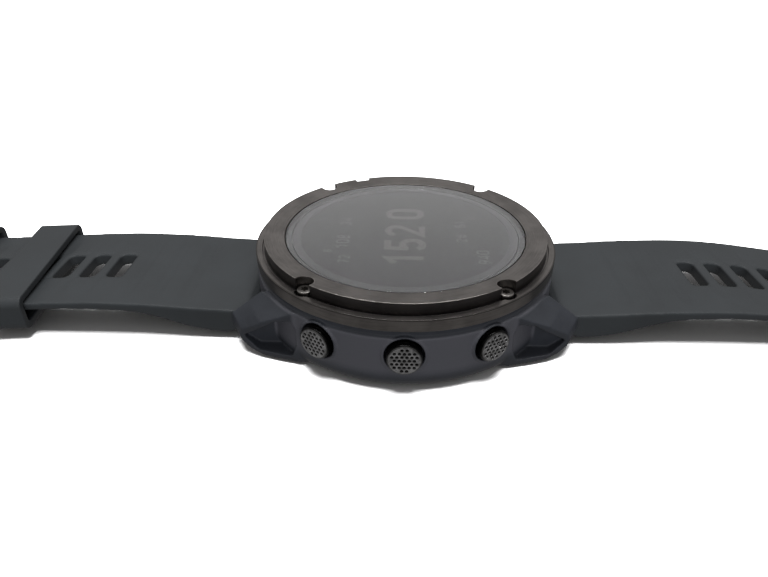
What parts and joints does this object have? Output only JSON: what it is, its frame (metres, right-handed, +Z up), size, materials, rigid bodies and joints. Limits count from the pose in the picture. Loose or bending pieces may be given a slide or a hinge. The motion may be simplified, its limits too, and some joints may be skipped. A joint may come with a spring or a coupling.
{
  "type": "gps running watch",
  "caption": "Round outdoor running watch with screwed metal bezel, side buttons, lugged polymer case and slotted silicone quick release band lying open with keepers and tongue buckle.",
  "frame": {"origin": "on the axis of the round case, at the level of the flat rear sensor window that the watch rests on", "axes": "+Z up through the lens, +X along the band towards the free tip (6 o'clock), -Y the side with three buttons"},
  "size_m": [0.2643, 0.0521, 0.0149],
  "materials": {
    "antenna": "plated",
    "back_steel": "fine brushed",
    "bezel_steel": "dark carbon coating, brushed, edges worn bright",
    "board": "solder mask",
    "buckle_steel": "dark coating, brushed",
    "bush": "turned",
    "button_steel": "dark coating, dimpled face",
    "case_polymer": "fine matte, moulded",
    "cell": "pouch foil",
    "display": "reflective display film",
    "emitter": "clear encapsulated",
    "gasket_rubber": "soft",
    "gold": "gold plated",
    "inner_plastic": "moulded",
    "latch_steel": "satin",
    "lens_glass": "polished",
    "light_guide": "clear moulded",
    "motor_steel": "drawn can",
    "photovoltaic": "thin film",
    "piezo": "plated disc",
    "pin_steel": "ground",
    "screw_steel": "machined",
    "shield": "drawn sheet",
    "silicone": "soft matte silicone",
    "spring_steel": "drawn wire",
    "window_glass": "polished, dark tinted"
  },
  "bodies": {
    "case": {"mid_case": "case_polymer", "bezel": "bezel_steel", "bezel_screws": "screw_steel", "lens": "lens_glass", "back_cover": "back_steel", "back_cover_screws": "screw_steel", "sensor_window": "window_glass", "contact_insulator": "inner_plastic", "lug_pins": "pin_steel", "bezel_gasket": "gasket_rubber", "lens_gasket": "gasket_rubber", "solar_ring": "photovoltaic", "display_panel": "display", "light_guide": "light_guide", "display_frame": "inner_plastic", "main_board": "board", "board_shield": "shield", "gps_antenna": "antenna", "battery": "cell", "vibration_motor": "motor_steel", "buzzer": "piezo", "side_switches": "inner_plastic", "back_gasket": "gasket_rubber", "sensor_board": "board", "sensor_emitters": "emitter", "charging_contacts": "gold", "button_bushes": "bush", "button_seals": "gasket_rubber", "spring_light": "spring_steel", "spring_up": "spring_steel", "spring_down": "spring_steel", "spring_start": "spring_steel", "spring_back": "spring_steel"},
    "press_light": {"button_light": "button_steel", "clip_light": "spring_steel"},
    "press_up": {"button_up": "button_steel", "clip_up": "spring_steel"},
    "press_down": {"button_down": "button_steel", "clip_down": "spring_steel"},
    "press_start": {"button_start": "button_steel", "clip_start": "spring_steel"},
    "press_back": {"button_back": "button_steel", "clip_back": "spring_steel"},
    "strap_long": {"strap_long": "silicone", "latch_insert_long": "latch_steel", "latch_springs_long": "spring_steel"},
    "latch_long": {"latch_slider_long": "latch_steel"},
    "strap_buckle": {"strap_buckle": "silicone", "latch_insert_buckle": "latch_steel", "latch_springs_buckle": "spring_steel"},
    "latch_buckle": {"latch_slider_buckle": "latch_steel"},
    "keeper_inner": {"keeper_inner": "silicone"},
    "keeper_outer": {"keeper_outer": "silicone"},
    "buckle": {"buckle_frame": "buckle_steel", "buckle_pin": "pin_steel"},
    "tongue": {"buckle_tongue": "buckle_steel"}
  },
  "joints": [
    {"name": "press_light", "type": "slide", "parent": "case", "child": "press_light", "axis": [0.506, 0.8625, 0], "range_m": [0, 0.00045], "stiffness_N_per_m": 1500, "springref_m": -0.0004, "deforming": ["spring_light"]},
    {"name": "press_up", "type": "slide", "parent": "case", "child": "press_up", "axis": [0, 1, 0], "range_m": [0, 0.00045], "stiffness_N_per_m": 1500, "springref_m": -0.0004, "deforming": ["spring_up"]},
    {"name": "press_down", "type": "slide", "parent": "case", "child": "press_down", "axis": [-0.506, 0.8625, 0], "range_m": [0, 0.00045], "stiffness_N_per_m": 1500, "springref_m": -0.0004, "deforming": ["spring_down"]},
    {"name": "press_start", "type": "slide", "parent": "case", "child": "press_start", "axis": [0.506, -0.8625, 0], "range_m": [0, 0.00045], "stiffness_N_per_m": 1500, "springref_m": -0.0004, "deforming": ["spring_start"]},
    {"name": "press_back", "type": "slide", "parent": "case", "child": "press_back", "axis": [-0.506, -0.8625, 0], "range_m": [0, 0.00045], "stiffness_N_per_m": 1500, "springref_m": -0.0004, "deforming": ["spring_back"]},
    {"name": "strap_long_swing", "type": "hinge", "parent": "case", "child": "strap_long", "pos_m": [0.026, 0, 0.0038], "axis": [0, 1, 0], "range_deg": [-20, 60]},
    {"name": "strap_buckle_swing", "type": "hinge", "parent": "case", "child": "strap_buckle", "pos_m": [-0.026, 0, 0.0038], "axis": [0, -1, 0], "range_deg": [-20, 60]},
    {"name": "latch_long_pull", "type": "slide", "parent": "strap_long", "child": "latch_long", "axis": [1, 0, 0], "range_m": [0, 0.0017], "stiffness_N_per_m": 800, "springref_m": -0.0006, "deforming": ["latch_springs_long"]},
    {"name": "latch_buckle_pull", "type": "slide", "parent": "strap_buckle", "child": "latch_buckle", "axis": [-1, 0, 0], "range_m": [0, 0.0017], "stiffness_N_per_m": 800, "springref_m": -0.0006, "deforming": ["latch_springs_buckle"]},
    {"name": "keeper_inner_slide", "type": "slide", "parent": "strap_buckle", "child": "keeper_inner", "axis": [1, 0, 0], "range_m": [-0.003, 0.005]},
    {"name": "keeper_outer_slide", "type": "slide", "parent": "strap_buckle", "child": "keeper_outer", "axis": [1, 0, 0], "range_m": [-0.0025, 0.003]},
    {"name": "buckle_swing", "type": "hinge", "parent": "strap_buckle", "child": "buckle", "pos_m": [-0.0995, 0, 0.0023], "axis": [0, 1, 0], "range_deg": [-60, 40]},
    {"name": "tongue_swing", "type": "hinge", "parent": "buckle", "child": "tongue", "pos_m": [-0.0995, 0, 0.0023], "axis": [0, 1, 0], "range_deg": [0, 90]}
  ]
}
